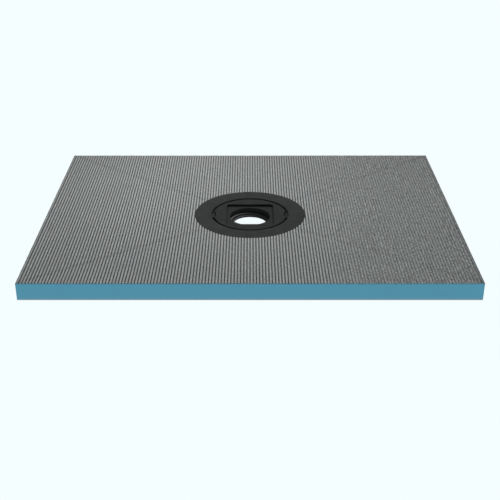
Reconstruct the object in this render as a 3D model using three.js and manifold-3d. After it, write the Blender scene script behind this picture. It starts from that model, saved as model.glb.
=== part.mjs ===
// A tileable shower tray: a foam board that falls from its four edges to a
// round drain, coated with reinforced mortar above and below.
// Millimetres, +Z up, origin at the middle of the underside, long side on X.
import * as THREE from 'three';
import * as BufferGeometryUtils from 'three/addons/utils/BufferGeometryUtils.js';
import Module from 'manifold-3d';

// Tray
const TRAY_LENGTH = 1200;          // along X
const TRAY_WIDTH = 900;            // along Y
const EDGE_THICKNESS = 50;         // all round the rim
const TOP_COATING = 3;             // mortar on the falls, to the tops of its ribs
const BOTTOM_COATING = 1.5;        // mortar on the underside
const FLANGE_DROP = 12;            // rim down to the top of the drain flange

// Drain flange, its well and its sleeve
const FLANGE_RADIUS = 164;
const FLANGE_THICKNESS = 4;
const WELL_RADIUS = 115;           // inside of the well that holds the insert
const WELL_DEPTH = 14;             // top of the flange down to the well floor
const MOULDED_WALL = 3;
const SLEEVE_RADIUS = 60;          // upper bore, 120 across
const OUTLET_RADIUS = 50;          // lower bore, 100 across
const SHOULDER_DEPTH = 24;         // top of the flange down to the shoulder
const OUTLET_CLEARANCE = 3;        // end of the sleeve above the underside
const RIB_DEPTH = 27;              // top of the flange down to the ring rib
const RIB_REACH = 3;               // how far the rib stands into the bore
const RIB_SLOPE = 3;               // height of the rib's sloped upper side
const RIB_LIP = 1;                 // height of the rib's edge
const RIB_BACK = 0.5;              // height of its undercut lower side

// Insert plate
const DISC_RADIUS = 108;
const DISC_SINK = 1;               // its face below the top of the flange
const GRATE_SIDE = 140;            // the square grate that its recess takes
const RECESS_CORNER = 10;
const RECESS_DEPTH = 7.5;
const NOTCH_LENGTH = 26;           // lifting notches in the rim, left and right
const NOTCH_REACH = 6;             // how far they cut in from the rim
const NOTCH_DEPTH = 4;

// Clearances
const BOND_LINE = 0.3;             // between the foam and the sloped coating
const GRATE_GAP = 0.5;             // round the grate in its recess
const FIT_GAP = 0.3;               // round a piece that sits in its pocket
const SEAT_GAP = 0.3;              // under the insert's skirt

const ROUND_STEPS = 96;
const CORNER_STEPS = 8;
const CUT_PAST = 5;                // cutters run past the face they open

// Heights above the underside, from the values above
const flangeTop = EDGE_THICKNESS - FLANGE_DROP;
const flangeUnder = flangeTop - FLANGE_THICKNESS;
const wellFloor = flangeTop - WELL_DEPTH;
const wellUnder = wellFloor - MOULDED_WALL;
const shoulder = flangeTop - SHOULDER_DEPTH;
const ribTop = flangeTop - RIB_DEPTH;
const discTop = flangeTop - DISC_SINK;
const recessFloor = discTop - RECESS_DEPTH;
const discFoot = wellFloor + SEAT_GAP;
const sleeveOuter = SLEEVE_RADIUS + MOULDED_WALL;
const recessSide = GRATE_SIDE + 2 * GRATE_GAP;

// The four falls are flat planes through the rim that meet over the drain.
// They are lowest at the flange where the valleys reach it, and there they
// are level with it.
const halfDiagonal = Math.hypot(TRAY_LENGTH, TRAY_WIDTH) / 2;
const apexDrop = FLANGE_DROP / (1 - FLANGE_RADIUS / halfDiagonal);

const wasm = await Module();
wasm.setup();

function toSolid(geometry) {
  const bare = new THREE.BufferGeometry();
  bare.setAttribute('position', geometry.getAttribute('position'));
  bare.setIndex(geometry.getIndex());
  const merged = BufferGeometryUtils.mergeVertices(bare);
  return new wasm.Manifold(new wasm.Mesh({
    numProp: 3,
    vertProperties: new Float32Array(merged.getAttribute('position').array),
    triVerts: new Uint32Array(merged.getIndex().array),
  }));
}

function toGeometry(solid) {
  const mesh = solid.getMesh();
  const geometry = new THREE.BufferGeometry();
  geometry.setAttribute('position', new THREE.BufferAttribute(new Float32Array(mesh.vertProperties), 3));
  geometry.setIndex(new THREE.BufferAttribute(new Uint32Array(mesh.triVerts), 1));
  geometry.computeVertexNormals();
  return geometry;
}

// A board between two surfaces, each level along the rim and lowest in the
// middle. Given as heights: rim and middle of the top, rim and middle below.
function fallingBoard(topRim, topMiddle, underRim, underMiddle) {
  const x = TRAY_LENGTH / 2;
  const y = TRAY_WIDTH / 2;
  const corners = [[-x, -y], [x, -y], [x, y], [-x, y]];
  const points = [
    ...corners.map(([cx, cy]) => [cx, cy, topRim]),
    [0, 0, topMiddle],
    ...corners.map(([cx, cy]) => [cx, cy, underRim]),
    [0, 0, underMiddle],
  ];
  const topCentre = corners.length;
  const under = topCentre + 1;
  const faces = [];
  for (let i = 0; i < corners.length; i += 1) {
    const next = (i + 1) % corners.length;
    faces.push([i, next, topCentre]);
    faces.push([under + next, under + i, under + corners.length]);
    faces.push([under + i, under + next, next]);
    faces.push([under + i, next, i]);
  }
  const geometry = new THREE.BufferGeometry();
  geometry.setAttribute('position', new THREE.Float32BufferAttribute(points.flat(), 3));
  geometry.setIndex(faces.flat());
  return toSolid(geometry);
}

// An upright cylinder between two heights
function drum(radius, low, high) {
  const geometry = new THREE.CylinderGeometry(radius, radius, high - low, ROUND_STEPS);
  geometry.rotateX(Math.PI / 2);
  geometry.translate(0, 0, (low + high) / 2);
  return toSolid(geometry);
}

// A solid of revolution from a closed outline of [radius, height] points
function turned(outline) {
  const points = [...outline, outline[0]].map(([r, z]) => new THREE.Vector2(r, z));
  const geometry = new THREE.LatheGeometry(points, ROUND_STEPS);
  geometry.rotateX(Math.PI / 2);
  return toSolid(geometry);
}

// An upright square prism with round corners between two heights
function squarePrism(side, corner, low, high) {
  const half = side / 2;
  const shape = new THREE.Shape();
  shape.moveTo(half, corner - half);
  shape.lineTo(half, half - corner);
  shape.absarc(half - corner, half - corner, corner, 0, Math.PI / 2, false);
  shape.absarc(corner - half, half - corner, corner, Math.PI / 2, Math.PI, false);
  shape.absarc(corner - half, corner - half, corner, Math.PI, Math.PI * 1.5, false);
  shape.absarc(half - corner, corner - half, corner, Math.PI * 1.5, Math.PI * 2, false);
  const geometry = new THREE.ExtrudeGeometry(shape, {
    depth: high - low, bevelEnabled: false, curveSegments: CORNER_STEPS,
  });
  geometry.translate(0, 0, low);
  return toSolid(geometry);
}

function box(width, depth, low, high, x = 0) {
  const geometry = new THREE.BoxGeometry(width, depth, high - low);
  geometry.translate(x, 0, (low + high) / 2);
  return toSolid(geometry);
}

// The foam board, with a rebate for the flange, a pocket for the well and a
// hole for the sleeve
function foamCore() {
  const top = EDGE_THICKNESS - TOP_COATING - BOND_LINE;
  const past = EDGE_THICKNESS + CUT_PAST;
  return fallingBoard(top, top - apexDrop, BOTTOM_COATING, BOTTOM_COATING)
    .subtract(drum(FLANGE_RADIUS + FIT_GAP, flangeUnder, past))
    .subtract(drum(WELL_RADIUS + MOULDED_WALL + FIT_GAP, wellUnder, past))
    .subtract(drum(sleeveOuter + FIT_GAP, -CUT_PAST, past));
}

function topCoating() {
  const under = EDGE_THICKNESS - TOP_COATING;
  return fallingBoard(EDGE_THICKNESS, EDGE_THICKNESS - apexDrop, under, under - apexDrop)
    .subtract(drum(FLANGE_RADIUS + FIT_GAP, -CUT_PAST, EDGE_THICKNESS + CUT_PAST));
}

function bottomCoating() {
  return fallingBoard(BOTTOM_COATING, BOTTOM_COATING, 0, 0)
    .subtract(drum(sleeveOuter + FIT_GAP, -CUT_PAST, BOTTOM_COATING + CUT_PAST));
}

// Flange, well, sleeve, shoulder and outlet, moulded as one piece
function drainFlange() {
  const wellOuter = WELL_RADIUS + MOULDED_WALL;
  const outletOuter = OUTLET_RADIUS + MOULDED_WALL;
  const ribRadius = OUTLET_RADIUS - RIB_REACH;
  const ribEdge = ribTop - RIB_SLOPE;
  const ribFoot = ribEdge - RIB_LIP;
  return turned([
    [OUTLET_RADIUS, OUTLET_CLEARANCE],
    [outletOuter, OUTLET_CLEARANCE],
    [outletOuter, shoulder - MOULDED_WALL],
    [sleeveOuter, shoulder - MOULDED_WALL],
    [sleeveOuter, wellUnder],
    [wellOuter, wellUnder],
    [wellOuter, flangeUnder],
    [FLANGE_RADIUS, flangeUnder],
    [FLANGE_RADIUS, flangeTop],
    [WELL_RADIUS, flangeTop],
    [WELL_RADIUS, wellFloor],
    [SLEEVE_RADIUS, wellFloor],
    [SLEEVE_RADIUS, shoulder],
    [OUTLET_RADIUS, shoulder],
    [OUTLET_RADIUS, ribTop],
    [ribRadius, ribEdge],
    [ribRadius, ribFoot],
    [OUTLET_RADIUS, ribFoot - RIB_BACK],
  ]);
}

// Insert plate: a face with a skirt, a square tray for the grate and a collar
// round the bore
function drainDisc() {
  const skirtInner = DISC_RADIUS - MOULDED_WALL;
  const faceUnder = discTop - MOULDED_WALL;
  const trayUnder = recessFloor - MOULDED_WALL;
  const past = discTop + CUT_PAST;
  const notchInner = DISC_RADIUS - NOTCH_REACH;
  const hollow = drum(skirtInner, discFoot - CUT_PAST, faceUnder)
    .subtract(squarePrism(recessSide + 2 * MOULDED_WALL, RECESS_CORNER + MOULDED_WALL, trayUnder, past))
    .subtract(drum(sleeveOuter, discFoot - CUT_PAST, past));
  let solid = drum(DISC_RADIUS, discFoot, discTop)
    .subtract(hollow)
    .subtract(squarePrism(recessSide, RECESS_CORNER, recessFloor, past))
    .subtract(drum(SLEEVE_RADIUS, discFoot - CUT_PAST, past));
  for (const side of [-1, 1]) {
    const middle = side * (notchInner + NOTCH_REACH);
    solid = solid.subtract(box(2 * NOTCH_REACH, NOTCH_LENGTH, discTop - NOTCH_DEPTH, past, middle));
  }
  return solid;
}

const foamBlue = { color: 0x518fa7, roughness: 0.85, metalness: 0 };
const mortarGrey = { color: 0x7c7e7d, roughness: 0.9, metalness: 0 };
const mouldedBlack = { color: 0x2c2d2e, roughness: 0.55, metalness: 0 };

const pieces = [
  ['foam_core', foamCore(), foamBlue],
  ['top_coating', topCoating(), mortarGrey],
  ['bottom_coating', bottomCoating(), mortarGrey],
  ['drain_flange', drainFlange(), mouldedBlack],
  ['drain_disc', drainDisc(), mouldedBlack],
];

const tray = new THREE.Group();
for (const [name, solid, finish] of pieces) {
  const mesh = new THREE.Mesh(toGeometry(solid), new THREE.MeshStandardMaterial(finish));
  mesh.name = name;
  tray.add(mesh);
}

export default tray;
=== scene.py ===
# %% [markdown]
# # A tileable shower tray
#
# The real tray is a board of blue polystyrene foam, cut so that its top falls
# from all four edges to a round drain. Both faces are coated with a grey
# mortar, and the upper coat is combed into fine ribs that grip the tile
# adhesive. A black moulded flange sits in the middle, with a loose insert
# plate in its well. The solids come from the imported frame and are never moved
# or changed here: three get a dressed piece in their place, and two a finish.

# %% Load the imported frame
import math

import bmesh
import bpy
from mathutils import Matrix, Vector


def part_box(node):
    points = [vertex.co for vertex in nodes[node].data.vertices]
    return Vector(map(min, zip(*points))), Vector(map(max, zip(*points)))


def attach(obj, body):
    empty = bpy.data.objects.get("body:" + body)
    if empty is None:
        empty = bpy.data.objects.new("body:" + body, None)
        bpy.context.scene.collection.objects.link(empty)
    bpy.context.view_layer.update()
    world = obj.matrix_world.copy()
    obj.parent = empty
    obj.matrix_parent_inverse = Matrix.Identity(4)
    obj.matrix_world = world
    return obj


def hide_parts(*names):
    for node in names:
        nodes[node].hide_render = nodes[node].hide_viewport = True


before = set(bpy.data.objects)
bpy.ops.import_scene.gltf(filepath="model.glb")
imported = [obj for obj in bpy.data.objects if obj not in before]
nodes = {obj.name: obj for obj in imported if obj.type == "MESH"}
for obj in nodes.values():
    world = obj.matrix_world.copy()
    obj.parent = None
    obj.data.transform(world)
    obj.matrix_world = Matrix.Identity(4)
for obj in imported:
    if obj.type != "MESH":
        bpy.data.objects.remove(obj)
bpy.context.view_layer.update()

MM = 0.001

# %% [markdown]
# ## The camera
#
# The picture this follows was taken straight in front of the long side, about
# 2.8 m away, looking down at 27 degrees. A lens of 67 mm on a 36 mm sensor
# gives the same fall-off in width from the front edge to the back one.

# %% Camera
LOOK_DOWN = math.radians(26.939)

camera_data = bpy.data.cameras.new("Camera")
camera_data.lens = 66.887
camera_data.sensor_width = 36.0
camera = bpy.data.objects.new("Camera", camera_data)
camera.location = (0.0, -2.52458, 1.19906)
camera.rotation_euler = (math.pi / 2 - LOOK_DOWN, 0.0, 0.0)
bpy.context.scene.collection.objects.link(camera)
bpy.context.scene.camera = camera
print("camera at", tuple(camera.location))

# %% [markdown]
# ## The studio
#
# The tray stands on a pale sweep with no shadow under it, as product pictures
# often do. A floor that glows evenly does that: it shows one pale tone to the
# camera and fills the tray's edges from below. It is one triangle, because the
# two triangles of a square left a diagonal change of tone on the underside,
# and it is clear from below, so that the underside can be seen. The key lamp
# hangs high on the right. It lights the right flanks of the ribs and leaves
# their left flanks and the right side of the drain's bore dark. A small soft
# lamp adds a little light at the back.

# %% View and world
PALE = (0.913, 0.991, 1.0)            # the sweep, a very pale cool white
FILL_LEVEL = 0.22                     # light from the whole room
FLOOR_GLOW = 1.74                     # what the floor sends back up

bpy.context.scene.view_settings.view_transform = "Standard"
bpy.context.scene.view_settings.look = "None"


def glow_by_ray(tree, to_camera, to_object, output):
    """Shows one brightness to the camera and lights the object with another."""
    ray = tree.nodes.new("ShaderNodeLightPath")
    level = tree.nodes.new("ShaderNodeMix")
    level.inputs["A"].default_value = to_object
    level.inputs["B"].default_value = to_camera
    tree.links.new(ray.outputs["Is Camera Ray"], level.inputs["Factor"])
    tree.links.new(level.outputs["Result"], output)


world = bpy.data.worlds.new("Pale room")
world.use_nodes = True
bpy.context.scene.world = world
room = world.node_tree.nodes["Background"]
room.inputs["Color"].default_value = (*PALE, 1.0)
glow_by_ray(world.node_tree, 1.0, FILL_LEVEL, room.inputs["Strength"])
print("room fill", FILL_LEVEL)

# %% Floor
FLOOR_REACH = 20.0                    # metres from the drain to its left and front
FLOOR_BELOW = 0.0005                  # metres, so that the underside stays clear of it
close_by, far_off = -FLOOR_REACH, 3 * FLOOR_REACH

floor_mesh = bpy.data.meshes.new("floor")
floor_mesh.from_pydata(
    [(x, y, -FLOOR_BELOW) for x, y in
     ((close_by, close_by), (far_off, close_by), (close_by, far_off))],
    [], [(0, 1, 2)])
floor = bpy.data.objects.new("floor", floor_mesh)
bpy.context.scene.collection.objects.link(floor)
sweep = bpy.data.materials.new("Pale sweep")
sweep.use_nodes = True
sweep_tree = sweep.node_tree
sweep_tree.nodes.clear()
glow = sweep_tree.nodes.new("ShaderNodeEmission")
glow.inputs["Color"].default_value = (*PALE, 1.0)
glow_by_ray(sweep_tree, 1.0, FLOOR_GLOW, glow.inputs["Strength"])
clear_below = sweep_tree.nodes.new("ShaderNodeMixShader")
side = sweep_tree.nodes.new("ShaderNodeNewGeometry")
see_through = sweep_tree.nodes.new("ShaderNodeBsdfTransparent")
surface = sweep_tree.nodes.new("ShaderNodeOutputMaterial")
sweep_tree.links.new(side.outputs["Backfacing"], clear_below.inputs[0])
sweep_tree.links.new(glow.outputs["Emission"], clear_below.inputs[1])
sweep_tree.links.new(see_through.outputs[0], clear_below.inputs[2])
sweep_tree.links.new(clear_below.outputs[0], surface.inputs["Surface"])
floor_mesh.materials.append(sweep)
print("floor at", -FLOOR_BELOW)

# %% Lamps
SUN_STAND = 3.0                       # metres away, which changes nothing for a sun


def sun(name, strength, elevation, azimuth, softness):
    """A distant lamp. Azimuth 0 shines from the right, 90 from the back."""
    data = bpy.data.lights.new(name, "SUN")
    data.energy = strength
    data.angle = math.radians(softness)
    lamp = bpy.data.objects.new(name, data)
    up, around = math.radians(elevation), math.radians(azimuth)
    towards = Vector((math.cos(up) * math.cos(around),
                      math.cos(up) * math.sin(around), math.sin(up)))
    lamp.rotation_euler = towards.to_track_quat("Z", "Y").to_euler()
    lamp.location = towards * SUN_STAND
    bpy.context.scene.collection.objects.link(lamp)


def softbox(name, power, size, stand, aim):
    """A square soft lamp that faces a point on the tray."""
    data = bpy.data.lights.new(name, "AREA")
    data.energy = power
    data.size = size
    lamp = bpy.data.objects.new(name, data)
    lamp.visible_camera = False
    lamp.location = stand
    lamp.rotation_euler = (Vector(stand) - Vector(aim)).to_track_quat("Z", "Y").to_euler()
    bpy.context.scene.collection.objects.link(lamp)


sun("Key from the right", strength=1.65, elevation=60.0, azimuth=20.0, softness=6.0)
softbox("Softbox over the tray", power=3.6, size=0.5,
        stand=(-0.25, 0.28, 0.80), aim=(0.27, 0.33, 0.0))

# %% [markdown]
# ## Finishes
#
# All the finishes are built from nodes on object coordinates, so a pattern
# keeps its real size in millimetres. Two effects turn up in several of them,
# the grit of a rough surface and the slow drift of a tone over a large one,
# so each is a node group that is built once and placed with its own values.

# %% Node helpers
def add(tree, kind, **settings):
    """A new node with its settings."""
    node = tree.nodes.new(kind)
    for name, value in settings.items():
        setattr(node, name, value)
    return node


def feed(tree, socket, value):
    """Links a socket to another, or sets a plain value on it."""
    if isinstance(value, bpy.types.NodeSocket):
        tree.links.new(value, socket)
    else:
        socket.default_value = value


def calc(tree, operation, *values):
    """One step of arithmetic between sockets and numbers."""
    node = add(tree, "ShaderNodeMath", operation=operation)
    for socket, value in zip(node.inputs, values):
        feed(tree, socket, value)
    return node.outputs[0]


def split(tree, vector):
    """The outputs X, Y and Z of a vector."""
    node = add(tree, "ShaderNodeSeparateXYZ")
    feed(tree, node.inputs[0], vector)
    return node.outputs


def stretch(tree, vector, factors):
    """A vector with each of its three parts multiplied."""
    node = add(tree, "ShaderNodeVectorMath", operation="MULTIPLY")
    feed(tree, node.inputs[0], vector)
    feed(tree, node.inputs[1], factors)
    return node.outputs[0]


def span(tree, x, y):
    """How far a point is from the drain's axis."""
    squares = calc(tree, "ADD", calc(tree, "MULTIPLY", x, x), calc(tree, "MULTIPLY", y, y))
    return calc(tree, "SQRT", squares)


def both_ways(tree, noise):
    """A noise from 0 to 1, turned into one from -1 to 1."""
    return calc(tree, "MULTIPLY_ADD", noise, 2.0, -1.0)


def ramp(tree, value, start, end, low=0.0, high=1.0, kind="SMOOTHSTEP"):
    """Goes from low to high while the value goes from start to end."""
    node = add(tree, "ShaderNodeMapRange", interpolation_type=kind)
    for label, bound in (("Value", value), ("From Min", start), ("From Max", end),
                         ("To Min", low), ("To Max", high)):
        feed(tree, node.inputs[label], bound)
    return node.outputs["Result"]


MIX_FROM, MIX_TO, MIXED = 6, 7, 2     # the colour sockets of a Mix node


def blend(tree, share, start, end):
    """A colour that gives way to another while the share goes from 0 to 1."""
    node = add(tree, "ShaderNodeMix", data_type="RGBA")
    feed(tree, node.inputs["Factor"], share)
    feed(tree, node.inputs[MIX_FROM], start)
    feed(tree, node.inputs[MIX_TO], end)
    return node.outputs[MIXED]


def effect(name, inputs, outputs):
    """An empty shader node group with those sockets."""
    tree = bpy.data.node_groups.new(name, "ShaderNodeTree")
    for label, kind, value in inputs:
        socket = tree.interface.new_socket(label, in_out="INPUT", socket_type=kind)
        if value is not None:
            socket.default_value = value
    for label, kind in outputs:
        tree.interface.new_socket(label, in_out="OUTPUT", socket_type=kind)
    given = add(tree, "NodeGroupInput")
    made = add(tree, "NodeGroupOutput")
    return tree, given.outputs, made.inputs


def place(tree, group, **values):
    """Places an effect in a material, with its own values."""
    node = add(tree, "ShaderNodeGroup")
    node.node_tree = group
    for label, value in values.items():
        feed(tree, node.inputs[label.replace("_", " ")], value)
    return node.outputs


print("node helpers ready")

# %% Grit: the fine roughness of mortar, cut foam and grained plastic
FLOAT, VECTOR = "NodeSocketFloat", "NodeSocketVector"

grit, given, made = effect(
    "Grit",
    [("Vector", VECTOR, None), ("Grain", FLOAT, 0.002), ("Contrast", FLOAT, 0.1)],
    [("Height", FLOAT), ("Shade", FLOAT)])
fineness = calc(grit, "DIVIDE", 1.0, given["Grain"])
coarse = add(grit, "ShaderNodeTexNoise")
feed(grit, coarse.inputs["Vector"], given["Vector"])
feed(grit, coarse.inputs["Scale"], fineness)
feed(grit, coarse.inputs["Detail"], 3.0)
feed(grit, coarse.inputs["Roughness"], 0.65)
feed(grit, made["Height"], coarse.outputs["Fac"])
swing = both_ways(grit, coarse.outputs["Fac"])
feed(grit, made["Shade"], calc(grit, "MULTIPLY_ADD", swing, given["Contrast"], 1.0))
print("effect:", grit.name)

# %% Drift: the slow change of tone over a large surface
drift, given, made = effect(
    "Drift",
    [("Vector", VECTOR, None), ("Patch", FLOAT, 0.2), ("Amount", FLOAT, 0.05)],
    [("Shade", FLOAT)])
cloud = add(drift, "ShaderNodeTexNoise")
feed(drift, cloud.inputs["Vector"], given["Vector"])
feed(drift, cloud.inputs["Scale"], calc(drift, "DIVIDE", 1.0, given["Patch"]))
feed(drift, cloud.inputs["Detail"], 2.0)
swing = both_ways(drift, cloud.outputs["Fac"])
feed(drift, made["Shade"], calc(drift, "MULTIPLY_ADD", swing, given["Amount"], 1.0))
print("effect:", drift.name)


# %% What every finish starts from
def finish(name, roughness, specular=0.5):
    """A material with its shader and object coordinates, ready for a pattern."""
    material = bpy.data.materials.new(name)
    material.use_nodes = True
    tree = material.node_tree
    shader = tree.nodes["Principled BSDF"]
    shader.inputs["Roughness"].default_value = roughness
    shader.inputs["Specular IOR Level"].default_value = specular
    where = add(tree, "ShaderNodeTexCoord").outputs["Object"]
    return material, tree, shader, where


def tint(tree, colour, *shades):
    """A colour made lighter or darker by each shade, which is 1 where it stays."""
    total = shades[0]
    for shade in shades[1:]:
        total = calc(tree, "MULTIPLY", total, shade)
    scaled = add(tree, "ShaderNodeVectorMath", operation="SCALE")
    feed(tree, scaled.inputs[0], colour)
    feed(tree, scaled.inputs["Scale"], total)
    return scaled.outputs["Vector"]


def relief(tree, shader, height, depth):
    """Tilts the surface by a height of that depth in metres."""
    bump = add(tree, "ShaderNodeBump")
    feed(tree, bump.inputs["Height"], height)
    bump.inputs["Distance"].default_value = depth
    feed(tree, shader.inputs["Normal"], bump.outputs["Normal"])


print("finish helpers ready")


# %% [markdown]
# ### Mortar, foam and plastic
#
# Mortar is a pale grey, with painted shade down in the grooves and a painted highlight on the crests.
# The ribbed coat carries attributes that say how far each point is down in a groove or up on a crest,
# how broken the ribs are there and how much painted shade it gets along the creases, the short edges
# and the right side. The finish reads those rather than guessing them from coordinates, because the
# ribs wander a little. The upright cut edge of the mortar is a darker blue-grey, painted shade tinted
# towards the foam. Cut foam is almost one flat blue with fine burst cells.

# %% Ribbed mortar
MORTAR_GREY = (0.205, 0.211, 0.209)
SHADED_EDGE_MORTAR = (0.06, 0.17, 0.235)     # its upright cut edge: painted shade, tinted towards the foam's blue
THREAD_PITCH = 4.1 * MM               # cross threads of the reinforcing mesh
CREST_HIGHLIGHT = 0.75                     # a crest is that much paler: a painted highlight
GROOVE_SHADE = 0.85                    # and a groove that much darker: painted shade
DASH_WIDTH = 2.8 * MM                 # the dashes that broken ribs leave
DASH_STRETCH = (1.0, 0.35, 1.0)       # they are drawn out along the ribs
DASH_LEAST, DASH_GAIN = 0.7, 1.9      # how clear they are, and where ribs break
UPRIGHT_BELOW = 0.3                   # a face whose normal rises less was sawn
THREAD_RISE = 0.25                    # the threads beside the grit, in the relief
MORTAR_RELIEF = 0.25 * MM


def read(tree, name):
    """A value that the mesh carries on its points."""
    return add(tree, "ShaderNodeAttribute", attribute_name=name).outputs["Fac"]


def threads(tree, along):
    """The rise and fall of the reinforcing threads in one direction."""
    return calc(tree, "SINE", calc(tree, "MULTIPLY", along, math.tau / THREAD_PITCH))


ribbed_mortar, tree, shader, where = finish("Ribbed mortar", roughness=0.8, specular=0.25)
grain = place(tree, grit, Vector=where, Grain=1.6 * MM, Contrast=0.22)
tone = place(tree, drift, Vector=where, Patch=0.16, Amount=0.05)
clearness = calc(tree, "MULTIPLY_ADD", read(tree, "broken"), DASH_GAIN, DASH_LEAST)
dashes = place(tree, grit, Vector=stretch(tree, where, DASH_STRETCH),
               Grain=DASH_WIDTH, Contrast=clearness)
# Painted highlight on the crests and painted shade in the grooves
rib_highlight_and_shade = calc(tree, "MULTIPLY_ADD", read(tree, "crest"), CREST_HIGHLIGHT, 1.0)
rib_highlight_and_shade = calc(tree, "MULTIPLY_ADD", read(tree, "groove"), -GROOVE_SHADE, rib_highlight_and_shade)
# Painted shade along the creases, the short edges and the right side
painted_shade = calc(tree, "SUBTRACT", 1.0, read(tree, "shade_amount"))
grey = tint(tree, MORTAR_GREY, grain["Shade"], tone["Shade"], dashes["Shade"], rib_highlight_and_shade, painted_shade)
print("mortar grey", MORTAR_GREY)

# %% Its upright cut edges, in painted shade
facing = split(tree, add(tree, "ShaderNodeNewGeometry").outputs["Normal"])
upright = calc(tree, "LESS_THAN", calc(tree, "ABSOLUTE", facing["Z"]), UPRIGHT_BELOW)
# The upright cut faces get a darker blue-grey: painted shade
shaded_edge = tint(tree, SHADED_EDGE_MORTAR, grain["Shade"], dashes["Shade"])
feed(tree, shader.inputs["Base Color"], blend(tree, upright, grey, shaded_edge))
thread = threads(tree, split(tree, where)["Y"])
rough_top = calc(tree, "MULTIPLY_ADD", thread, THREAD_RISE, grain["Height"])
relief(tree, shader, rough_top, MORTAR_RELIEF)
print("finish:", ribbed_mortar.name)

# %% Mortar of the underside
UNDER_GREY = (0.22, 0.225, 0.225)
WEAVE_RISE = 0.5                      # the thinner coat shows the mesh both ways
UNDER_RELIEF = 0.3 * MM

under_mortar, tree, shader, where = finish("Underside mortar", roughness=0.85)
grain = place(tree, grit, Vector=where, Grain=1.6 * MM, Contrast=0.18)
tone = place(tree, drift, Vector=where, Patch=0.2, Amount=0.07)
under_tone = tint(tree, UNDER_GREY, grain["Shade"], tone["Shade"])
feed(tree, shader.inputs["Base Color"], under_tone)
spot = split(tree, where)
weave = calc(tree, "MAXIMUM", threads(tree, spot["X"]), threads(tree, spot["Y"]))
rough_under = calc(tree, "MULTIPLY_ADD", weave, WEAVE_RISE, grain["Height"])
relief(tree, shader, rough_under, UNDER_RELIEF)
print("finish:", under_mortar.name)

# %% Cut foam, dusty with mortar along its low edge
FOAM_BLUE = (0.082, 0.275, 0.386)
FOAM_DUSTY = (0.108, 0.236, 0.322)
DUST_FROM, DUST_TO = 8 * MM, 3 * MM   # heights on the edge, from clean to dusty
CELL_RELIEF = 0.12 * MM

cut_foam, tree, shader, where = finish("Cut foam", roughness=0.9, specular=0.25)
cells = place(tree, grit, Vector=where, Grain=0.9 * MM, Contrast=0.07)
tone = place(tree, drift, Vector=where, Patch=0.11, Amount=0.03)
dust = ramp(tree, split(tree, where)["Z"], DUST_FROM, DUST_TO)
clean_foam = tint(tree, FOAM_BLUE, cells["Shade"], tone["Shade"])
dusty_foam = tint(tree, FOAM_DUSTY, cells["Shade"], tone["Shade"])
feed(tree, shader.inputs["Base Color"], blend(tree, dust, clean_foam, dusty_foam))
relief(tree, shader, cells["Height"], CELL_RELIEF)
print("finish:", cut_foam.name)


# %% [markdown]
# ### Moulded black plastic
#
# The two mouldings are satin black, with a spark-eroded grain that only shows as a soft sheen and faint
# cloudy flow marks. The bore is a deeper black, painted shade. Its shoulder and the ring rib below are
# painted paler, a painted highlight that is strongest on the left and fades out towards the right. All
# three are told apart by how far from the drain's axis and how high they are, and the highlight also by
# how far to the left it is.

# %% Moulded black plastic
BORE_RADIUS = 60.7 * MM               # the painted shade reaches out to here
BORE_SHADE = 0.25                     # how much of the tone is left in the bore under its painted shade
HIGHLIGHT_GAIN = 4.5                          # how much paler a step is: a painted highlight
HIGHLIGHT_FROM, HIGHLIGHT_TO = 35 * MM, -55 * MM   # across, from no painted highlight to the strongest
PLASTIC_RELIEF = 0.04 * MM

# Of each painted highlight: its height, how far it reaches up and down from there, its inner radius,
# and its share of the highlight
SHOULDER_HIGHLIGHT = (14.0 * MM, 0.5 * MM, 55.0 * MM, 1.0)
RIB_HIGHLIGHT = (9.5 * MM, 1.7 * MM, 0.0, 0.5)


def moulded_plastic(name, colour, roughness):
    """Satin black plastic with the grain of its mould."""
    material, tree, shader, where = finish(name, roughness, specular=0.08)
    grain = place(tree, grit, Vector=where, Grain=4.5 * MM, Contrast=0.45)
    tone = place(tree, drift, Vector=where, Patch=0.028, Amount=0.3)
    spot = split(tree, where)
    radius = span(tree, spot["X"], spot["Y"])
    bored = calc(tree, "LESS_THAN", radius, BORE_RADIUS)
    # Painted shade: the bore is made darker
    bore_shade = calc(tree, "MULTIPLY_ADD", bored, BORE_SHADE - 1.0, 1.0)
    stepped = 0.0
    for height, half, inner_edge, share in (SHOULDER_HIGHLIGHT, RIB_HIGHLIGHT):
        level_with = calc(tree, "COMPARE", spot["Z"], height, half)
        on_step = calc(tree, "MULTIPLY", level_with, calc(tree, "GREATER_THAN", radius, inner_edge))
        stepped = calc(tree, "MAXIMUM", stepped, calc(tree, "MULTIPLY", on_step, share))
    # Painted highlight on the shoulder and the ring rib, strongest on the left
    leftwards = ramp(tree, spot["X"], HIGHLIGHT_FROM, HIGHLIGHT_TO, kind="LINEAR")
    highlight_share = calc(tree, "MULTIPLY", calc(tree, "MULTIPLY", stepped, bored), leftwards)
    painted_highlight = calc(tree, "MULTIPLY_ADD", highlight_share, HIGHLIGHT_GAIN / BORE_SHADE - 1.0, 1.0)
    black = tint(tree, colour, grain["Shade"], tone["Shade"], bore_shade, painted_highlight)
    feed(tree, shader.inputs["Base Color"], black)
    feed(tree, shader.inputs["Roughness"], calc(tree, "MULTIPLY", grain["Shade"], roughness))
    relief(tree, shader, grain["Height"], PLASTIC_RELIEF)
    print("finish:", name)
    return material


flange_plastic = moulded_plastic("Flange plastic", (0.032, 0.032, 0.032), 0.5)
insert_plastic = moulded_plastic("Insert plastic", (0.0245, 0.025, 0.025), 0.46)

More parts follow.
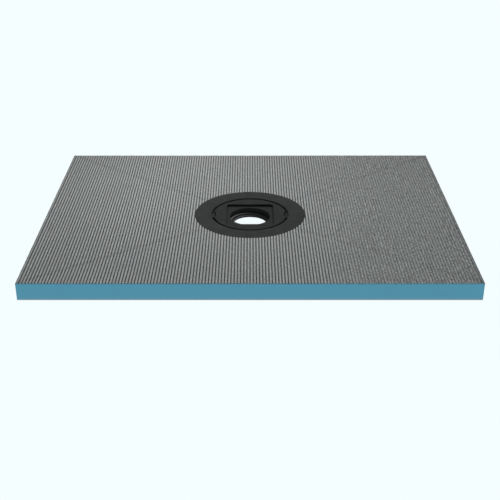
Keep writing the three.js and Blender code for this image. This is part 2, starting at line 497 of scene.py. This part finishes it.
# %% [markdown]
# ## The ribbed coat
#
# A comb drawn from the back edge to the front leaves 146 ribs in the mortar,
# 8.2 mm apart, and those that meet the drain stop there. Such a surface
# follows a rule, so Geometry Nodes make it. One grid has six columns of
# points for each rib and a row of points every 6 to 9 mm. Each column is a
# loop: in from the front edge along the top, down at the drain and back
# underneath. The second half is the mirror of the first, the two are welded
# along the middle, and only then the heights, the wander of the ribs and
# their beads are set, so that the halves don't look mirrored.
#
# Modelling one rib and repeating it with an Array would be simpler, but then
# each rib would need its own cut round the drain and its own kink where it
# crosses a valley.

# %% Sizes of the ribbed coat
coat_low, coat_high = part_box("top_coating")
_, flange_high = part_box("drain_flange")

TRAY_LENGTH = coat_high.x - coat_low.x
TRAY_WIDTH = coat_high.y - coat_low.y
RIM_HEIGHT = coat_high.z
FLANGE_RADIUS = flange_high.x
FLANGE_TOP = flange_high.z
HALF_DIAGONAL = math.hypot(TRAY_LENGTH, TRAY_WIDTH) / 2
MIDDLE_DROP = (RIM_HEIGHT - FLANGE_TOP) / (1 - FLANGE_RADIUS / HALF_DIAGONAL)

RIB_COUNT = 146
RIB_DEPTH = 2.2 * MM
COAT_THICKNESS = 3.28 * MM            # crest of a rib down to the foam
DRAIN_GAP = 0.38 * MM                 # between the coat and the flange
ROWS = 48                             # from the edge to the drain
WANDER = 0.45 * MM                    # how far a rib strays sideways
STRAY_STRETCH = (90.0, 14.0, 0.0)     # it strays slowly along, and alone across
JOLT = 0.25 * MM                      # how far one bead sits beside the next
JOLT_GAIN = 0.7 * MM                  # and more where the ribs break up
BEADS = 0.45 * MM                     # how much its crest goes up and down
BEAD_TONE = 0.6                       # how much one bead differs in tone
SILT = 0.3                            # how much of a groove one bead may fill
LEAST_COAT = 0.2 * MM                 # mortar left over the foam in a groove
FLUSH = 0.15 * MM                     # the coat above the flange at its rim
FEATHER_SLOPE = 0.12                  # how steeply it is trowelled down to it
FAINT_FROM, FAINT_TO = 0.13, 0.33     # on the right, where the comb lifts off
FAINT_SHARE = 0.41                    # how deep it still cuts past that
BACK_SHARE = 0.82                     # and how deep at the back, where it starts
PATCH_SIZE = 15 * MM                  # patches where it skipped on the right
PATCH_SWING = 1.6                     # how much deeper or shallower it cut there
FOLD_WIDTH = 9 * MM                   # the creases between two falls
FOLD_SHADE = 0.16                      # get that much painted shade
RIM_WIDTH = 13 * MM                   # strips along the short edges
RIM_SHADE = 0.3                        # get more painted shade still
FAINT_SHADE = 0.06                     # and the right side gets a little painted shade
SEED = 7                              # of every random choice

# Across one rib, from the middle of a groove: where each point is, as a share
# of the pitch, and how far down it is, as a share of the depth
RIB_SHAPE = [(0.0, 1.0), (0.12, 0.86), (0.25, 0.2), (0.5, 0.0), (0.75, 0.2), (0.88, 0.86)]
print("pitch", round(TRAY_LENGTH / RIB_COUNT / MM, 2), "mm, drop", round(MIDDLE_DROP / MM, 2), "mm")


# %% The tree and its named inputs
def node_tree(name, inputs):
    """An empty Geometry Nodes tree with named inputs and one mesh out."""
    tree = bpy.data.node_groups.new(name, "GeometryNodeTree")
    for label, kind in inputs:
        tree.interface.new_socket(label, in_out="INPUT", socket_type=kind)
    tree.interface.new_socket("Mesh", in_out="OUTPUT", socket_type="NodeSocketGeometry")
    return tree, add(tree, "NodeGroupInput").outputs, add(tree, "NodeGroupOutput").inputs


def pick(tree, index, values):
    """The value in that place of a list."""
    node = add(tree, "GeometryNodeIndexSwitch", data_type="FLOAT")
    while len(node.index_switch_items) < len(values):
        node.index_switch_items.new()
    feed(tree, node.inputs["Index"], index)
    for socket, value in zip(list(node.inputs)[1:], values):
        feed(tree, socket, value)
    return node.outputs[0]


def keep(tree, geometry, values):
    """Holds values on the points, so that later nodes can still read them."""
    node = add(tree, "GeometryNodeCaptureAttribute", domain="POINT")
    feed(tree, node.inputs[0], geometry)
    for label, value in values.items():
        node.capture_items.new("FLOAT", label)
        feed(tree, node.inputs[label], value)
    return node.outputs


coat_tree, sizes, coat_out = node_tree("Ribbed coat", [
    ("Length", FLOAT), ("Width", FLOAT), ("Rim Height", FLOAT),
    ("Middle Drop", FLOAT), ("Hole Radius", FLOAT), ("Ribs", "NodeSocketInt"),
    ("Rib Depth", FLOAT), ("Thickness", FLOAT), ("Rows", "NodeSocketInt"),
    ("Wander", FLOAT), ("Beads", FLOAT), ("Drain Height", FLOAT),
    ("Feather Slope", FLOAT), ("Faint From", FLOAT), ("Faint To", FLOAT),
    ("Faint Share", FLOAT), ("Seed", "NodeSocketInt"),
    ("Material", "NodeSocketMaterial")])
print("tree:", coat_tree.name)

# %% One half, laid out flat
TURNS = 4                             # steps of a column after its top rows

tree = coat_tree
half_length = calc(tree, "DIVIDE", sizes["Length"], 2.0)
half_width = calc(tree, "DIVIDE", sizes["Width"], 2.0)
pitch = calc(tree, "DIVIDE", sizes["Length"], sizes["Ribs"])
columns = calc(tree, "MULTIPLY_ADD", sizes["Ribs"], len(RIB_SHAPE), 1.0)
loop = calc(tree, "ADD", sizes["Rows"], TURNS + 1.0)
grid = add(tree, "GeometryNodeMeshGrid")
feed(tree, grid.inputs["Vertices X"], columns)
feed(tree, grid.inputs["Vertices Y"], loop)

index = add(tree, "GeometryNodeInputIndex").outputs[0]
row = calc(tree, "MODULO", index, loop)
column = calc(tree, "FLOOR", calc(tree, "DIVIDE", index, loop))
point = calc(tree, "MODULO", column, len(RIB_SHAPE))
rib = calc(tree, "FLOOR", calc(tree, "DIVIDE", column, len(RIB_SHAPE)))
across = pick(tree, point, [share for share, _ in RIB_SHAPE])
sunk = pick(tree, point, [share for _, share in RIB_SHAPE])
x = calc(tree, "SUBTRACT", calc(tree, "MULTIPLY", calc(tree, "ADD", rib, across), pitch), half_length)
print("columns:", RIB_COUNT * len(RIB_SHAPE) + 1, "each of", ROWS + TURNS + 1, "points")

# %% Where each row of a column is
# The row next to a valley moves onto it, so that the fold is straight.
slope = calc(tree, "DIVIDE", sizes["Width"], sizes["Length"])
valley = calc(tree, "MULTIPLY", calc(tree, "ABSOLUTE", x), slope)
room_left = calc(tree, "SUBTRACT", calc(tree, "POWER", sizes["Hole Radius"], 2.0),
                 calc(tree, "MULTIPLY", x, x))
reach = calc(tree, "SQRT", calc(tree, "MAXIMUM", room_left, 0.0))
spacing = calc(tree, "DIVIDE", calc(tree, "SUBTRACT", half_width, reach), sizes["Rows"])
away = calc(tree, "SUBTRACT", half_width, calc(tree, "MULTIPLY", row, spacing))
off = calc(tree, "ABSOLUTE", calc(tree, "SUBTRACT", away, valley))
near = calc(tree, "LESS_THAN", off, calc(tree, "DIVIDE", spacing, 2.0))
inner = calc(tree, "MULTIPLY", calc(tree, "GREATER_THAN", row, 0.5),
             calc(tree, "LESS_THAN", row, calc(tree, "SUBTRACT", sizes["Rows"], 0.5)))
on_valley = calc(tree, "MULTIPLY", near, inner)
away = calc(tree, "ADD", away, calc(tree, "MULTIPLY", on_valley, calc(tree, "SUBTRACT", valley, away)))

turn = calc(tree, "MAXIMUM", calc(tree, "SUBTRACT", row, sizes["Rows"]), 0.0)
distance = pick(tree, turn, [away, reach, calc(tree, "MAXIMUM", valley, reach), half_width, half_width])
top = pick(tree, turn, [1.0, 0.0, 0.0, 0.0, 1.0])
print("rows with their places:", len(tree.nodes), "nodes")

# %% The half, without the wall that would stand inside the coat
TOUCHING = 1e-6                       # metres within which two points are one
APART = 0.01                          # metres from top to underside, until both have
                                      # their heights
WHOLE_FACE = 0.99                     # a face's mark is over this if all its corners
                                      # are marked

# The last row on top and the first one under it
at_drain = calc(tree, "COMPARE", row, calc(tree, "ADD", sizes["Rows"], 0.5), 0.75)
no_hole = calc(tree, "LESS_THAN", reach, TOUCHING)
inside_wall = calc(tree, "MULTIPLY", at_drain, no_hole)
held = keep(tree, grid.outputs["Mesh"], {
    "top": top, "sunk": sunk, "inside wall": inside_wall,
    "bead": calc(tree, "MULTIPLY_ADD", rib, loop, row)})
apart = calc(tree, "MULTIPLY", held["top"], APART)
flat_place = add(tree, "ShaderNodeCombineXYZ")
feed(tree, flat_place.inputs["X"], x)
feed(tree, flat_place.inputs["Y"], calc(tree, "MULTIPLY", distance, -1.0))
feed(tree, flat_place.inputs["Z"], apart)
laid_out = add(tree, "GeometryNodeSetPosition")
feed(tree, laid_out.inputs["Geometry"], held[0])
feed(tree, laid_out.inputs["Position"], flat_place.outputs[0])
open_half = add(tree, "GeometryNodeDeleteGeometry", domain="FACE", mode="ALL")
feed(tree, open_half.inputs["Geometry"], laid_out.outputs[0])
feed(tree, open_half.inputs["Selection"], calc(tree, "GREATER_THAN", held["inside wall"], WHOLE_FACE))
print("one half:", len(tree.nodes), "nodes")

# %% The other half, and the weld
mirrored = add(tree, "GeometryNodeTransform")
feed(tree, mirrored.inputs["Geometry"], open_half.outputs[0])
mirrored.inputs["Scale"].default_value = (1.0, -1.0, 1.0)
turned_out = add(tree, "GeometryNodeFlipFaces")
feed(tree, turned_out.inputs[0], mirrored.outputs[0])
both = add(tree, "GeometryNodeJoinGeometry")
feed(tree, both.inputs[0], open_half.outputs[0])
feed(tree, both.inputs[0], turned_out.outputs[0])
welded = add(tree, "GeometryNodeMergeByDistance")
feed(tree, welded.inputs["Geometry"], both.outputs[0])
feed(tree, welded.inputs["Distance"], TOUCHING)
print("both halves:", len(tree.nodes), "nodes")

# %% Heights and beads
position = add(tree, "GeometryNodeInputPosition").outputs[0]
spot = split(tree, position)
px, py = spot["X"], spot["Y"]
side_share = calc(tree, "DIVIDE", calc(tree, "ABSOLUTE", px), half_length)
end_share = calc(tree, "DIVIDE", calc(tree, "ABSOLUTE", py), half_width)
outwards = calc(tree, "MAXIMUM", side_share, end_share)
fall = calc(tree, "MULTIPLY", calc(tree, "SUBTRACT", 1.0, outwards), sizes["Middle Drop"])
level = calc(tree, "SUBTRACT", sizes["Rim Height"], fall)
from_drain = calc(tree, "SUBTRACT", span(tree, px, py), sizes["Hole Radius"])

# Trowelled down to meet the flange, and combed more lightly on the right
feathered = calc(tree, "MULTIPLY_ADD", from_drain, sizes["Feather Slope"], sizes["Drain Height"])
crest_level = calc(tree, "MINIMUM", level, feathered)
lightly = ramp(tree, px, sizes["Faint From"], sizes["Faint To"], low=1.0, high=sizes["Faint Share"])
broken = calc(tree, "SUBTRACT", 1.0, lightly)
patchy = add(tree, "ShaderNodeTexNoise")
feed(tree, patchy.inputs["Vector"], position)
feed(tree, patchy.inputs["Scale"], 1 / PATCH_SIZE)
fade_in = calc(tree, "MULTIPLY", broken, PATCH_SWING)
uneven = both_ways(tree, patchy.outputs["Fac"])
clarity = calc(tree, "MULTIPLY", lightly, calc(tree, "MULTIPLY_ADD", uneven, fade_in, 1.0))
backwards = calc(tree, "MAXIMUM", calc(tree, "DIVIDE", py, half_width), 0.0)
clarity = calc(tree, "MULTIPLY", clarity, calc(tree, "MULTIPLY_ADD", backwards, BACK_SHARE - 1.0, 1.0))


FAR_HALF = 20000.0                    # sets the far half's beads apart


def chance(tree, seed, extra, which):
    """A random number from 0 to 1, the same for all points of one bead."""
    node = add(tree, "FunctionNodeRandomValue", data_type="FLOAT")
    feed(tree, node.inputs["Seed"], calc(tree, "ADD", seed, float(extra)))
    feed(tree, node.inputs["ID"], which)
    return node.outputs[1]


own_bead = calc(tree, "MULTIPLY_ADD", calc(tree, "GREATER_THAN", py, 0.0), FAR_HALF, held["bead"])
bead = calc(tree, "MULTIPLY", chance(tree, sizes["Seed"], 1, own_bead), sizes["Beads"])
silt = calc(tree, "MULTIPLY_ADD", chance(tree, sizes["Seed"], 2, own_bead), -SILT, 1.0)
cut = calc(tree, "MULTIPLY", calc(tree, "MULTIPLY", held["sunk"], silt), sizes["Rib Depth"])
cut = calc(tree, "MULTIPLY", cut, clarity)
top_height = calc(tree, "SUBTRACT", crest_level, calc(tree, "ADD", cut, bead))
under_height = calc(tree, "SUBTRACT", level, sizes["Thickness"])
top_height = calc(tree, "MAXIMUM", top_height, calc(tree, "ADD", under_height, LEAST_COAT))
height = calc(tree, "ADD", under_height,
              calc(tree, "MULTIPLY", held["top"], calc(tree, "SUBTRACT", top_height, under_height)))
print("with the heights:", len(tree.nodes), "nodes")

# %% Sideways wander, which fades out at the short edges and at the drain
FADE = 8 * MM
stray_noise = add(tree, "ShaderNodeTexNoise", noise_dimensions="4D")
feed(tree, stray_noise.inputs["Vector"], stretch(tree, position, STRAY_STRETCH))
feed(tree, stray_noise.inputs["W"], sizes["Seed"])
feed(tree, stray_noise.inputs["Scale"], 1.0)
stray = both_ways(tree, stray_noise.outputs["Fac"])
from_side = calc(tree, "SUBTRACT", half_length, calc(tree, "ABSOLUTE", px))
clear = calc(tree, "DIVIDE", calc(tree, "MINIMUM", from_side, from_drain), FADE)
clear = calc(tree, "MINIMUM", calc(tree, "MAXIMUM", clear, 0.0), 1.0)
jolt = calc(tree, "MULTIPLY", calc(tree, "SUBTRACT", chance(tree, sizes["Seed"], 3, own_bead), 0.5),
            calc(tree, "MULTIPLY_ADD", broken, JOLT_GAIN, JOLT))
sideways = calc(tree, "MULTIPLY", calc(tree, "MULTIPLY_ADD", stray, sizes["Wander"], jolt),
                calc(tree, "MULTIPLY", clear, held["top"]))
print("with the wander:", len(tree.nodes), "nodes")


# %% What the finish will read: beads, broken ribs, and painted shade on creases and rims
def strip(tree, away_from, width):
    """A mask that goes from 1 on a line to 0 at that width from it."""
    left = calc(tree, "SUBTRACT", 1.0, calc(tree, "DIVIDE", away_from, width))
    return calc(tree, "MAXIMUM", left, 0.0)


bead_tone = calc(tree, "MULTIPLY_ADD", chance(tree, sizes["Seed"], 4, own_bead),
                 BEAD_TONE, 1.0 - BEAD_TONE / 2)
mottled = calc(tree, "MULTIPLY", clarity, bead_tone)
raised = calc(tree, "SUBTRACT", 1.0, held["sunk"])
# Painted shade along the creases between falls, the short edges and the right side
off_diagonal = calc(tree, "ABSOLUTE", calc(tree, "SUBTRACT", side_share, end_share))
fold = strip(tree, calc(tree, "MULTIPLY", half_width, off_diagonal), FOLD_WIDTH)
rim = strip(tree, from_side, RIM_WIDTH)
shade_amount = calc(tree, "MULTIPLY_ADD", fold, FOLD_SHADE, calc(tree, "MULTIPLY", rim, RIM_SHADE))
shade_amount = calc(tree, "MULTIPLY_ADD", broken, FAINT_SHADE, shade_amount)
print("with the marks:", len(tree.nodes), "nodes")

# %% The finished sheet
shaped_place = add(tree, "ShaderNodeCombineXYZ")
feed(tree, shaped_place.inputs["X"], calc(tree, "ADD", px, sideways))
feed(tree, shaped_place.inputs["Y"], py)
feed(tree, shaped_place.inputs["Z"], height)
shaped = add(tree, "GeometryNodeSetPosition")
feed(tree, shaped.inputs["Geometry"], welded.outputs[0])
feed(tree, shaped.inputs["Position"], shaped_place.outputs[0])
marked = shaped.outputs[0]
for label, value in (("groove", calc(tree, "MULTIPLY", held["sunk"], mottled)),
                     ("crest", calc(tree, "MULTIPLY", raised, mottled)),
                     ("broken", broken), ("shade_amount", shade_amount)):
    written = add(tree, "GeometryNodeStoreNamedAttribute", data_type="FLOAT", domain="POINT")
    feed(tree, written.inputs["Geometry"], marked)
    feed(tree, written.inputs["Name"], label)
    feed(tree, written.inputs["Value"], value)
    marked = written.outputs[0]
real = add(tree, "GeometryNodeRealizeInstances")
feed(tree, real.inputs[0], marked)
painted = add(tree, "GeometryNodeSetMaterial")
feed(tree, painted.inputs["Geometry"], real.outputs[0])
feed(tree, painted.inputs["Material"], sizes["Material"])
feed(tree, coat_out["Mesh"], painted.outputs[0])
print("tree:", len(tree.nodes), "nodes")


# %% [markdown]
# The modifier's inputs are set by each socket's identifier, and the result is
# taken off as a plain mesh. What it lacks are the two short sides of the
# coat: each is an open outline of points in one plane, so one flat face
# closes it, and the normals are turned outwards once the skin is whole.

# %% From the tree to a plain mesh
def run_tree(tree, name, values):
    """Runs a tree on an empty object and returns its mesh."""
    carrier = bpy.data.objects.new(name, bpy.data.meshes.new(name))
    bpy.context.scene.collection.objects.link(carrier)
    modifier = carrier.modifiers.new("Nodes", "NODES")
    modifier.node_group = tree
    for item in tree.interface.items_tree:
        if item.item_type == "SOCKET" and item.in_out == "INPUT":
            modifier[item.identifier] = values[item.name]
    carrier.data.update()
    seen = carrier.evaluated_get(bpy.context.evaluated_depsgraph_get())
    mesh = bpy.data.meshes.new_from_object(seen)
    bpy.data.objects.remove(carrier)
    mesh.name = name
    return mesh


def close_and_smooth(mesh, sharp_from):
    """Fills what is open, turns the faces outwards and smooths the rest."""
    work = bmesh.new()
    work.from_mesh(mesh)
    open_edges = [edge for edge in work.edges if edge.is_boundary]
    bmesh.ops.holes_fill(work, edges=open_edges, sides=0)
    bmesh.ops.recalc_face_normals(work, faces=work.faces)
    left_open = sum(1 for edge in work.edges if not edge.is_manifold)
    work.to_mesh(mesh)
    work.free()
    mesh.shade_smooth()
    mesh.set_sharp_from_angle(angle=math.radians(sharp_from))
    return left_open


def show(mesh, name, node, material=None):
    """Puts a finished mesh on the tray in place of its CAD node."""
    piece = bpy.data.objects.new(name, mesh)
    bpy.context.scene.collection.objects.link(piece)
    if material:
        mesh.materials.clear()
        mesh.materials.append(material)
    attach(piece, "root")
    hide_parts(node)
    mesh.calc_loop_triangles()
    print(name, "has", len(mesh.loop_triangles), "triangles")


coat_mesh = run_tree(coat_tree, "ribbed_coat", {
    "Length": TRAY_LENGTH, "Width": TRAY_WIDTH, "Rim Height": RIM_HEIGHT,
    "Middle Drop": MIDDLE_DROP, "Hole Radius": FLANGE_RADIUS + DRAIN_GAP,
    "Ribs": RIB_COUNT, "Rib Depth": RIB_DEPTH, "Thickness": COAT_THICKNESS,
    "Rows": ROWS, "Wander": WANDER, "Beads": BEADS,
    "Drain Height": FLANGE_TOP + FLUSH, "Feather Slope": FEATHER_SLOPE,
    "Faint From": FAINT_FROM, "Faint To": FAINT_TO, "Faint Share": FAINT_SHARE,
    "Seed": SEED, "Material": ribbed_mortar})
print("open edges left:", close_and_smooth(coat_mesh, sharp_from=75))
show(coat_mesh, "ribbed_coat", "top_coating")

# %% [markdown]
# ## The foam board and the lower coat
#
# Both are as plain as their solids: a hot wire cuts the board, and the lower
# coat is rolled on flat. The CAD nodes stay and get their finishes.

# %% Foam and lower coat
for node_name, material, slot_name in (
        ("foam_core", cut_foam, "foam"),
        ("bottom_coating", under_mortar, "bottom_mortar")):
    node = nodes[node_name]
    node.data.materials.clear()
    node.data.materials.append(material)
    print(node_name, "keeps its solid")


# %% [markdown]
# ## The drain flange
#
# Flange, well and sleeve are one moulding, the same all the way round, so a
# section drawn once and turned about the drain's axis gives the piece. A
# mould leaves no sharp corner: each corner of the section gets its own small
# radius before it is turned, which is cleaner on a round part than a bevel
# afterwards.

# %% Sections with round corners
ROUND_STEPS = 192
CORNER_POINTS = 4
EDGE_FROM = 40                        # degrees from which an edge counts as one


def ease(section):
    """Rounds a closed section given as (radius, height, corner radius) in mm."""
    points = []
    for i, (r, z, corner) in enumerate(section):
        here = Vector((r, z))
        before = Vector(section[i - 1][:2])
        after = Vector(section[(i + 1) % len(section)][:2])
        if not corner:
            points.append(here)
            continue
        back, on = (before - here).normalized(), (after - here).normalized()
        half_angle = back.angle(on) / 2
        start = here + back * (corner / math.tan(half_angle))
        end = here + on * (corner / math.tan(half_angle))
        centre = here + (back + on).normalized() * (corner / math.sin(half_angle))
        for step in range(CORNER_POINTS + 1):
            share = step / CORNER_POINTS
            on_chord = start.lerp(end, share) - centre
            points.append(centre + on_chord.normalized() * corner)
    return points


def turn_section(name, section):
    """Turns a closed section about the drain's axis into a closed mesh."""
    points = ease(section)
    count = len(points)
    vertices, faces = [], []
    for step in range(ROUND_STEPS):
        angle = math.tau * step / ROUND_STEPS
        vertices += [(p.x * MM * math.cos(angle), p.x * MM * math.sin(angle), p.y * MM)
                     for p in points]
        ahead = (step + 1) % ROUND_STEPS
        faces += [(step * count + i, ahead * count + i,
                   ahead * count + (i + 1) % count, step * count + (i + 1) % count)
                  for i in range(count)]
    mesh = bpy.data.meshes.new(name)
    mesh.from_pydata(vertices, [], faces)
    return mesh


print("steps round the drain:", ROUND_STEPS)

# %% Flange, well and sleeve
# From the foot of the outlet up the outside, over the flange, down into the
# well and down the bore: radius, height and corner radius, in mm
FLANGE_SECTION = [
    (50, 3, 0.4), (53, 3, 0.4), (53, 11, 0), (63, 11, 0), (63, 21, 0),
    (118, 21, 0), (118, 34, 0), (164, 34, 0.4), (164, 38, 0.8),
    (115, 38, 0.8), (115, 24, 0.5), (60, 24, 0.5), (60, 14, 0.4),
    (50, 14, 0.7), (50, 11, 0), (47, 8, 0.3), (47, 7, 0.3), (50, 6.5, 0)]

flange_mesh = turn_section("flange_and_well", FLANGE_SECTION)
print("open edges left:", close_and_smooth(flange_mesh, sharp_from=EDGE_FROM))
show(flange_mesh, "flange_and_well", "drain_flange", flange_plastic)

# %% [markdown]
# ## The insert plate
#
# The insert lifts out of the well. It is a disc with a square seat for the
# grate, a collar round the bore and two finger notches. Under each notch a
# lug bridges the groove to the well's wall, which keeps the disc centred. Its
# outline is turned like the flange's, the lugs are joined on, and then the
# square seat, the hollow under the face and the notches are cut with
# booleans, because those aren't round. A bevel last of all softens every cut
# edge alike, as the mould does.

# %% Cutters
def cutter(name, outline, low, high):
    """An upright prism over an outline of (x, y) points, all in mm."""
    count = len(outline)
    mesh = bpy.data.meshes.new(name)
    mesh.from_pydata(
        [(x * MM, y * MM, z * MM) for z in (low, high) for x, y in outline], [],
        [tuple(reversed(range(count))), tuple(range(count, 2 * count))]
        + [(i, (i + 1) % count, count + (i + 1) % count, count + i) for i in range(count)])
    tool = bpy.data.objects.new(name, mesh)
    bpy.context.scene.collection.objects.link(tool)
    return tool


def rounded_square(side, corner, steps=10):
    """The outline of a square with round corners, in mm."""
    inset = side / 2 - corner
    return [(cx * inset + corner * math.cos(a), cy * inset + corner * math.sin(a))
            for quarter, (cx, cy) in enumerate(((1, 1), (-1, 1), (-1, -1), (1, -1)))
            for a in [math.pi / 2 * (quarter + step / steps) for step in range(steps + 1)]]


def carve(mesh, *tools, joined=(), bevel=0.0):
    """Joins some shapes to a mesh, cuts the tools out and bevels if asked."""
    body = bpy.data.objects.new("body", mesh)
    bpy.context.scene.collection.objects.link(body)
    for operation, shapes in (("UNION", joined), ("DIFFERENCE", tools)):
        for shape in shapes:
            step = body.modifiers.new(operation.title(), "BOOLEAN")
            step.operation = operation
            step.solver = "EXACT"
            step.object = shape
    if bevel:
        soften = body.modifiers.new("Soften", "BEVEL")
        soften.width = bevel
        soften.segments = 3
        soften.limit_method = "ANGLE"
        soften.angle_limit = math.radians(EDGE_FROM)
    result = bpy.data.meshes.new_from_object(
        body.evaluated_get(bpy.context.evaluated_depsgraph_get()))
    for used in (body, *joined, *tools):
        bpy.data.objects.remove(used)
    return result


print("cutter helpers ready")

# %% Insert plate
# All in mm
DISC_RADIUS, DISC_TOP, DISC_FOOT, WALL = 108, 37.0, 24.3, 3.0
BORE_WALL, COLLAR_WALL, SKIRT_INNER = 60, 63, 105
SEAT_SIDE, SEAT_CORNER, SEAT_FLOOR = 141.0, 10.0, 29.5
NOTCH_FLOOR, NOTCH_INNER, NOTCH_HALF = 33.0, 102.0, 13.0
LUG_REACH, LUG_INNER, LUG_HALF, LUG_FOOT = 114.6, 103.5, 18.0, 28.0
LUG_BELOW = 0.2                       # the top of a lug under its notch's floor
LUG_STEPS = 12                        # along its round end
FACE_UNDER = 34                       # the face of the insert from below
PAST_FACE, PAST_FOOT, PAST_RIM = 40, 20, 3   # cutters run past what they cut


def lug_outline(side):
    """A lug from above, on the side -1 or 1, with its end round like the well."""
    spread = math.asin(LUG_HALF / LUG_REACH)
    end = [(LUG_REACH * math.cos(a), LUG_REACH * math.sin(a))
           for a in [spread * (2 * i / LUG_STEPS - 1) for i in range(LUG_STEPS + 1)]]
    outline = [(LUG_INNER, -LUG_HALF), *end, (LUG_INNER, LUG_HALF)]
    return [(side * x, side * y) for x, y in outline]


def notch_outline(side):
    """A notch from above, out past the rim of the insert."""
    near, far = NOTCH_INNER, LUG_REACH + PAST_RIM
    corners = [(near, -NOTCH_HALF), (far, -NOTCH_HALF), (far, NOTCH_HALF), (near, NOTCH_HALF)]
    return [(side * x, side * y) for x, y in corners]


def ring(inner, outer, low, high):
    """The section of a plain ring about the drain's axis."""
    return [(inner, low, 0), (outer, low, 0), (outer, high, 0), (inner, high, 0)]


under_hollow = carve(
    turn_section("hollow", ring(COLLAR_WALL, SKIRT_INNER, PAST_FOOT, FACE_UNDER)),
    cutter("tray", rounded_square(SEAT_SIDE + 2 * WALL, SEAT_CORNER + WALL),
           SEAT_FLOOR - WALL, PAST_FACE))
hollow_tool = bpy.data.objects.new("hollow", under_hollow)
bpy.context.scene.collection.objects.link(hollow_tool)
lugs = [cutter("lug", lug_outline(side), LUG_FOOT, NOTCH_FLOOR - LUG_BELOW) for side in (1, -1)]
notches = [cutter("notch", notch_outline(side), NOTCH_FLOOR, PAST_FACE) for side in (1, -1)]
insert_mesh = carve(
    turn_section("insert_plate", ring(BORE_WALL, DISC_RADIUS, DISC_FOOT, DISC_TOP)),
    hollow_tool,
    cutter("seat", rounded_square(SEAT_SIDE, SEAT_CORNER), SEAT_FLOOR, PAST_FACE),
    *notches, joined=lugs, bevel=0.5 * MM)
insert_mesh.name = "insert_plate"
print("open edges left:", close_and_smooth(insert_mesh, sharp_from=EDGE_FROM))
show(insert_mesh, "insert_plate", "drain_disc", insert_plastic)
